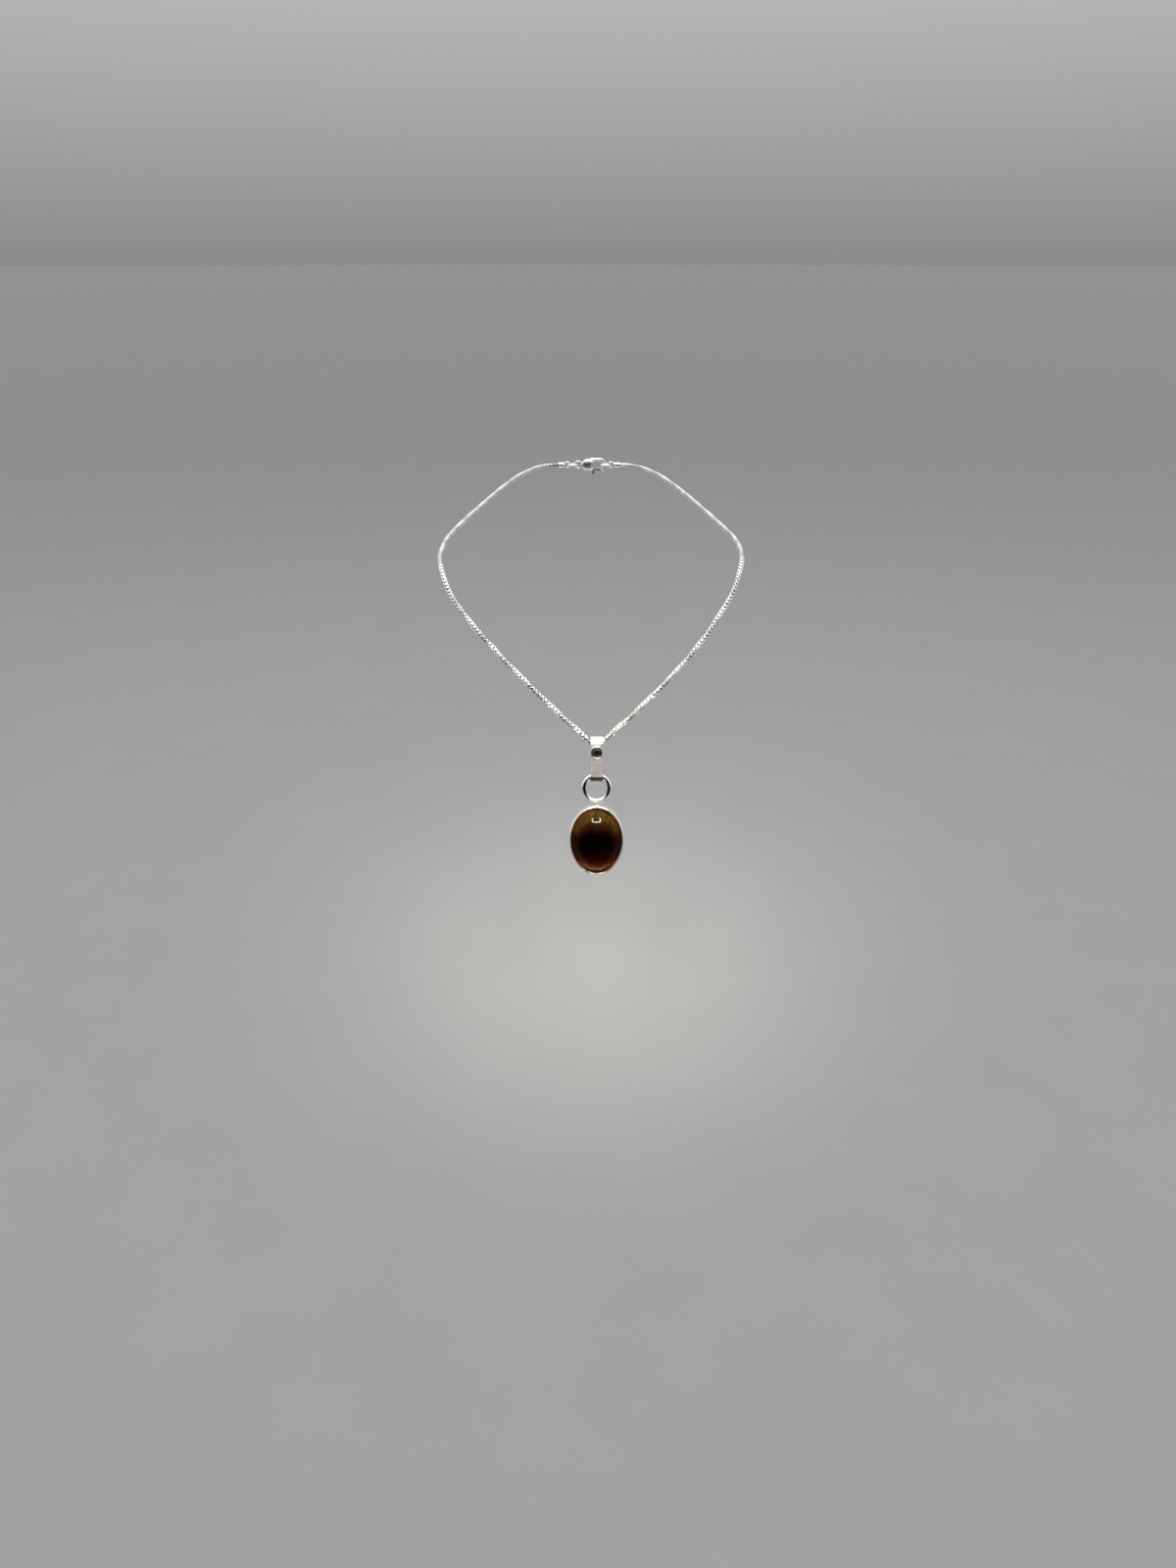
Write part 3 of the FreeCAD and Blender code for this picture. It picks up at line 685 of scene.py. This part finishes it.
def bezel_shape():
    """The wall with its edge burnished over the stone, a little uneven, and one small burr."""
    outline = [(0.7, WALL_BACK), (0.0, WALL_BACK), (0.0, 0.4), (0.0, -1.2), (0.0, -1.75), (0.03, -2.0)]
    outline += [(0.10, -2.15), (0.20, -2.25), (0.32, WALL_FRONT), (0.44, -2.27), (0.55, -2.17)]
    outline += [(0.72, -1.93), (0.92, -1.62), (1.08, -1.36), (1.14, -1.22), (1.12, -1.12)]
    outline += [(0.98, -1.1), (0.7, -1.2), (0.7, 0.4)]
    rings = []
    for inset, depth in outline:
        ring = []
        for k, (x, y, z) in enumerate(oval_ring(inset, depth)):
            angle = TURN * k / 240
            front = max(0.0, min(1.0, (-1.0 - y) / 0.8))
            wave = noise.noise(Vector((math.cos(angle) * 2.4, math.sin(angle) * 3.1, 7.0)))
            wave += 0.5 * noise.noise(Vector((math.cos(angle) * 9, math.sin(angle) * 9, 3.0)))
            lump = 0.5 * hollow(angle, BURR, 4.5) * front
            scale = 1 - (0.012 * wave + 0.025 * lump) * front * (inset > 0.2)
            ring.append((x * scale, y - 0.03 * wave * front - 0.28 * lump, z * scale))
        rings.append(ring)
    return grid(rings, along=True)


def plate_shape():
    rings = [oval_ring(0.0, WALL_BACK), oval_ring(0.0, 2.5), oval_ring(0.05, 2.62), oval_ring(0.18, 2.69)]
    rings += [oval_ring(inset, PLATE_BACK) for inset in (0.4, 1.5, 3.0, 5.0, 7.0, 8.0)]
    vertices, faces = grid(rings)
    return vertices, faces + [tuple(range(9 * 240, 10 * 240)), tuple(range(239, -1, -1))]


def dome_shape():
    rings = []
    for step in range(1, 41):
        rise = math.pi / 2 * step / 40
        rings.append([])
        for k in range(160):
            angle = TURN * k / 160
            across, up = STONE_WIDE * math.cos(angle), STONE_HIGH * math.sin(angle)
            out = math.sin(rise)
            rings[-1].append((across * out, STONE_FRONT - STONE_DOME * math.cos(rise), up * out))
    rings.append([(x, STONE_BACK, z) for x, _, z in rings[-1]])
    vertices, faces = grid(rings)
    tip = len(vertices)
    vertices.append((0, STONE_FRONT - STONE_DOME, 0))
    faces += [(k, tip, (k + 1) % 160) for k in range(160)]
    faces.append(tuple(range(40 * 160, 41 * 160)))
    return vertices, faces


def bezel():
    middle = hung("bezel_back_plate")
    place = HANG @ Matrix.Translation(Vector((0, 0, middle.z * MM)))
    piece("bezel_rim", bezel_shape(), place, rim_silver, "pendant", ["bezel_wall"], 70)
    piece("bezel_plate", plate_shape(), place, back_silver, "pendant", ["bezel_back_plate"])
    piece("cabochon", dome_shape(), place, amber(), "pendant", ["cabochon_stone"])
    piece("solder_bead", solder(middle.z), place, joint_silver, "pendant", ["solder_joint"])
    frame["nodes"]["bezel_bearing"].data.materials.clear()
    frame["nodes"]["bezel_bearing"].data.materials.append(back_silver)


bail()
accent()
ring()
bezel()


# Chain ends and clasp ----------------------------------------------------------------------------

EYE_RADIUS = 1.1
EYE_WIRE = 0.3
CAP_LENGTH = 2.4


def end_cap(node, side):
    """side is 1 where the cup opens towards -X."""
    low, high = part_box(node)
    mouth = low.x / MM if side > 0 else high.x / MM
    profile = [(0, 1.9), (0.86, 1.86), (0.9, 1.6), (0.93, 0.2), (0.96, 0.04), (1.0, 0.0), (1.06, 0.03)]
    profile += [(1.1, 0.12), (1.1, 0.3), (1.06, 0.4), (1.03, 0.46), (1.03, 1.9), (1.04, 2.1), (0.98, 2.26)]
    profile += [(0.82, 2.36), (0.5, 2.42), (0.34, 2.5), (0, 2.52)]
    cup = moved(lathe(profile, 48), Matrix.Rotation(math.radians(90) * side, 4, "Y"))
    eye = moved(wire_arc(EYE_RADIUS, EYE_WIRE, steps=72, sides=18), Matrix.Rotation(math.radians(90), 4, "X"))
    reach = CAP_LENGTH + EYE_RADIUS - EYE_WIRE / 3
    shape = joined(cup, moved(eye, Matrix.Translation((side * reach, 0, 0))))
    place = NAPE @ Matrix.Translation((mouth * MM, 0, 0))
    piece(f"{node}_cup", shape, place, polished, "chain", [node])


JUMP_RADIUS = 1.75
JUMP_WIRE = 0.35
JUMP_CUT = 0.02


def jump_ring(node, split):
    """A wire ring with a fine cut, an angle of JUMP_CUT wide, where its ends meet."""
    start = math.radians(split) + JUMP_CUT / 2
    wire = wire_arc(JUMP_RADIUS, JUMP_WIRE, start, TURN - JUMP_CUT, steps=96, sides=20)
    place = Matrix.Translation(middle_of(node))
    piece(f"{node}_wire", wire, place, polished, node, [node], 50)


def softened(name, node, body, material, voxel=0.06, passes=4):
    """The CAD part's own shape as a casting, with its edges eased."""
    mesh = frame["nodes"][node].data.copy()
    mesh.materials.clear()
    mesh.transform(Matrix.Scale(1 / MM, 4))
    work = bmesh.new()
    work.from_mesh(mesh)
    bmesh.ops.remove_doubles(work, verts=work.verts, dist=0.0005)
    work.to_mesh(mesh)
    work.free()
    blank = bpy.data.objects.new(f"{name}_blank", mesh)
    scene.collection.objects.link(blank)
    remesh = blank.modifiers.new("cast", "REMESH")
    remesh.mode = "VOXEL"
    remesh.voxel_size = voxel
    smooth = blank.modifiers.new("ease", "SMOOTH")
    smooth.factor = 0.5
    smooth.iterations = passes
    bpy.context.view_layer.update()
    cast = bpy.data.meshes.new_from_object(blank.evaluated_get(bpy.context.evaluated_depsgraph_get()))
    bpy.data.objects.remove(blank)
    shape = [tuple(v.co) for v in cast.vertices], [tuple(p.vertices) for p in cast.polygons]
    centre = middle_of(node)
    around = moved(shape, Matrix.Translation(-centre / MM))
    piece(name, around, Matrix.Translation(centre), material, body, [node], 80)


def rivet():
    low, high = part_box("clasp_rivet")
    radius, half = (high.x - low.x) / 2 / MM, (high.y - low.y) / 2 / MM
    profile = [(0, -half), (radius * 0.6, -half + 0.02), (radius * 0.9, -half + 0.07), (radius, -half + 0.14)]
    profile += [(r, -h) for r, h in reversed(profile)]
    turned = moved(lathe(profile, 32), Matrix.Rotation(math.radians(90), 4, "X"))
    place = Matrix.Translation(middle_of("clasp_rivet"))
    piece("clasp_pin", turned, place, polished, "clasp", ["clasp_rivet"])


COIL_WIRE = 0.08
COIL_RADIUS = 0.5
COIL_TURNS = 1.5
COIL_LEG = 1.0


def spring():
    """A wire coil round the rivet with a straight leg."""
    low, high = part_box("lever_spring")
    wire, coil = COIL_WIRE, COIL_RADIUS
    centre_x = low.x / MM + wire + coil
    centre_y = (low.y + high.y) / 2 / MM
    centre_z = low.z / MM + coil + wire
    rings = []
    path = []
    for i in range(61):
        angle = -math.pi * i / 60 * 2 * COIL_TURNS
        path.append((coil * math.cos(angle), -wire + 2 * wire * i / 60 * 0.5, coil * math.sin(angle)))
    path += [(-coil, 0.0, COIL_LEG * k / 6) for k in range(1, 7)]
    for i, here in enumerate(path):
        before, after = Vector(path[max(i - 1, 0)]), Vector(path[min(i + 1, len(path) - 1)])
        along = (after - before).normalized()
        side = along.cross(Vector((0, 1, 0))).normalized()
        up = side.cross(along)
        ring = []
        for j in range(10):
            round_wire = side * math.cos(TURN * j / 10) + up * math.sin(TURN * j / 10)
            ring.append(tuple(Vector(here) + wire * round_wire))
        rings.append(ring)
    shape = closed_ends(grid(rings), 10)
    place = Matrix.Translation(Vector((centre_x, centre_y, centre_z)) * MM)
    piece("lever_coil", shape, place, steel(), "clasp", ["lever_spring"])


end_cap("chain_end_cap_carrying", 1)
end_cap("chain_end_cap_receiving", -1)
jump_ring("jump_ring_carrying", 70)
jump_ring("jump_ring_receiving", 110)
softened("clasp_casting", "clasp_body", "clasp", polished)
softened("clasp_trigger", "clasp_lever", "clasp_lever", polished, 0.05, 3)
rivet()
spring()


# Stage -------------------------------------------------------------------------------------------

FLOOR_HEIGHT = -0.17


FLOOR_RADIUS = 40000


def floor():
    """A wide floor. The camera sees it pale, with a painted falloff of light far off; the silver reflects it
    as a painted dark floor in front and grey behind.
    """
    paint = Paint("pale_floor", Roughness=0.75)
    grain = paint.noise(30.0, 3.0)
    parts = paint.node("ShaderNodeSeparateXYZ", {"Vector": paint.place}).outputs
    # The camera's floor colour darkens a little with distance as painted falloff of light.
    far = paint.map(parts["Y"], 0.0, 1.4, 0.0, 1.0)
    shade = paint.ramp(far, [(0.0, (0.262, 0.262, 0.264)), (1.0, (0.228, 0.228, 0.230))], True)
    shade = paint.mix(0.05, shade, paint.ramp(grain, [(0.3, (0.12, 0.12, 0.12)), (0.7, (0.26, 0.26, 0.26))]))
    # Other rays see a painted dark floor in front and a grey one behind, which gives painted dark reflections
    # in the silver and the stone.
    seen = paint.node("ShaderNodeLightPath").outputs["Is Camera Ray"]
    behind = paint.map(parts["Y"], -0.22, -0.08, 0.0, 1.0)
    painted_reflected_floor = paint.ramp(behind, [(0.0, (0.05, 0.05, 0.05)), (1.0, (0.42, 0.41, 0.40))])
    paint.set(Base_Color=paint.mix(seen, painted_reflected_floor, shade))
    paint.bump(grain, 0.05, 0.0005)
    vertices, faces = lathe([(0, 0), (FLOOR_RADIUS, 0)], 96)
    mesh = bpy.data.meshes.new("floor")
    mesh.from_pydata([[c * MM for c in v] for v in vertices], [], faces)
    mesh.materials.append(paint.material)
    ground = bpy.data.objects.new("floor", mesh)
    ground.location.z = FLOOR_HEIGHT
    scene.collection.objects.link(ground)


def softbox(name, place, aim, wide, high, glow, colour):
    """An area light of this brightness, turned to its aim and unseen by the camera."""
    lamp = bpy.data.lights.new(name, "AREA")
    lamp.shape = "RECTANGLE"
    lamp.size, lamp.size_y = wide, high
    lamp.energy = glow * math.pi * wide * high
    lamp.color = colour
    thing = bpy.data.objects.new(name, lamp)
    thing.location = place
    thing.rotation_mode = "QUATERNION"
    thing.rotation_quaternion = (Vector(aim) - Vector(place)).to_track_quat("-Z", "Y")
    thing.visible_camera = False
    scene.collection.objects.link(thing)


WARM = (1.0, 0.94, 0.80)
PLAIN = (1.0, 0.99, 0.97)
BEAM = math.radians(10)


def cradle_lamp(aim, distance, wide, low, high, stroke, glow):
    """A bent tube lamp in front and above: two upright arms joined by a bow below. Angles in degrees."""
    left = [(-wide * 0.94, high), (-wide, (high + low) / 2)]
    left += [(-wide * 0.86, low + 2.4), (-wide * 0.5, low + 0.4)]
    points = left + [(-x, y) for x, y in reversed(left)]
    for i, (here, there) in enumerate(zip(points, points[1:])):
        spots = []
        for azimuth, rise in (here, there):
            a, e = math.radians(azimuth), math.radians(rise)
            away = Vector((math.sin(a) * math.cos(e), -math.cos(a) * math.cos(e), math.sin(e)))
            spots.append(Vector(aim) + away * distance)
        centre, along = (spots[0] + spots[1]) / 2, spots[1] - spots[0]
        lamp = bpy.data.lights.new(f"cradle_{i}", "AREA")
        lamp.shape = "RECTANGLE"
        lamp.size, lamp.size_y = along.length * 1.04, stroke
        lamp.spread = 2 * BEAM
        lamp.energy = glow * math.pi * lamp.size * stroke * (1 - BEAM / math.tan(BEAM))
        lamp.color = WARM
        thing = bpy.data.objects.new(f"cradle_{i}", lamp)
        back = (centre - Vector(aim)).normalized()
        right = along.normalized()
        up = back.cross(right).normalized()
        turn = Matrix((right, up, right.cross(up))).transposed().to_4x4()
        thing.matrix_world = Matrix.Translation(centre) @ turn
        thing.visible_camera = False
        scene.collection.objects.link(thing)


def surroundings():
    """Bright above, dim at the horizon and dark towards the viewer; a plain grey is what the camera sees."""
    world = bpy.data.worlds.new("studio")
    scene.world = world
    world.use_nodes = True
    tree = world.node_tree
    tree.nodes.clear()

    def node(kind, **inputs):
        made = tree.nodes.new(kind)
        for key, value in inputs.items():
            socket = made.inputs[key.replace("_", " ")]
            if isinstance(value, bpy.types.NodeSocket):
                tree.links.new(value, socket)
            else:
                socket.default_value = value
        return made

    def ramp(value, stops):
        made = node("ShaderNodeValToRGB", Fac=value)
        while len(made.color_ramp.elements) < len(stops):
            made.color_ramp.elements.new(0.5)
        for element, (spot, grey) in zip(made.color_ramp.elements, stops):
            element.position = spot
            element.color = (grey, grey, grey * 1.01, 1)
        return made.outputs["Color"]

    look = node("ShaderNodeSeparateXYZ", Vector=node("ShaderNodeTexCoord").outputs["Generated"]).outputs
    aside = tree.nodes.new("ShaderNodeMath")
    aside.operation = "ABSOLUTE"
    tree.links.new(look["X"], aside.inputs[0])
    above = ramp(look["Z"], [(0.0, 0.02), (0.25, 0.05), (0.5, 0.5), (0.85, 0.95)])
    sides = ramp(aside.outputs[0], [(0.6, 0.0), (0.85, 0.5), (1.0, 1.2)])
    back = ramp(look["Y"], [(0.0, 0.0), (0.6, 0.5)])
    room = [node("ShaderNodeBackground", Color=part) for part in (above, sides, back)]
    whole = node("ShaderNodeAddShader")
    tree.links.new(room[0].outputs[0], whole.inputs[0])
    tree.links.new(room[1].outputs[0], whole.inputs[1])
    everything = node("ShaderNodeAddShader")
    tree.links.new(whole.outputs[0], everything.inputs[0])
    tree.links.new(room[2].outputs[0], everything.inputs[1])
    plain = node("ShaderNodeBackground", Color=ramp(look["Z"], [(0.0, 0.262), (0.2, 0.5)]), Strength=1.0)
    seen = node("ShaderNodeLightPath").outputs["Is Camera Ray"]
    mixed = node("ShaderNodeMixShader", Fac=seen)
    tree.links.new(everything.outputs[0], mixed.inputs[1])
    tree.links.new(plain.outputs[0], mixed.inputs[2])
    output = tree.nodes.new("ShaderNodeOutputWorld")
    tree.links.new(mixed.outputs[0], output.inputs["Surface"])


floor()
surroundings()
softbox("ceiling", place=(0.0, -0.05, 0.6), aim=(0, 0, 0), wide=0.7, high=0.6, glow=2.1, colour=PLAIN)
cradle_lamp(
    middle_of("cabochon_stone"), distance=0.55, wide=19.5, low=37.0, high=51.0, stroke=0.028, glow=135.0
)
scene.view_settings.view_transform = "Standard"
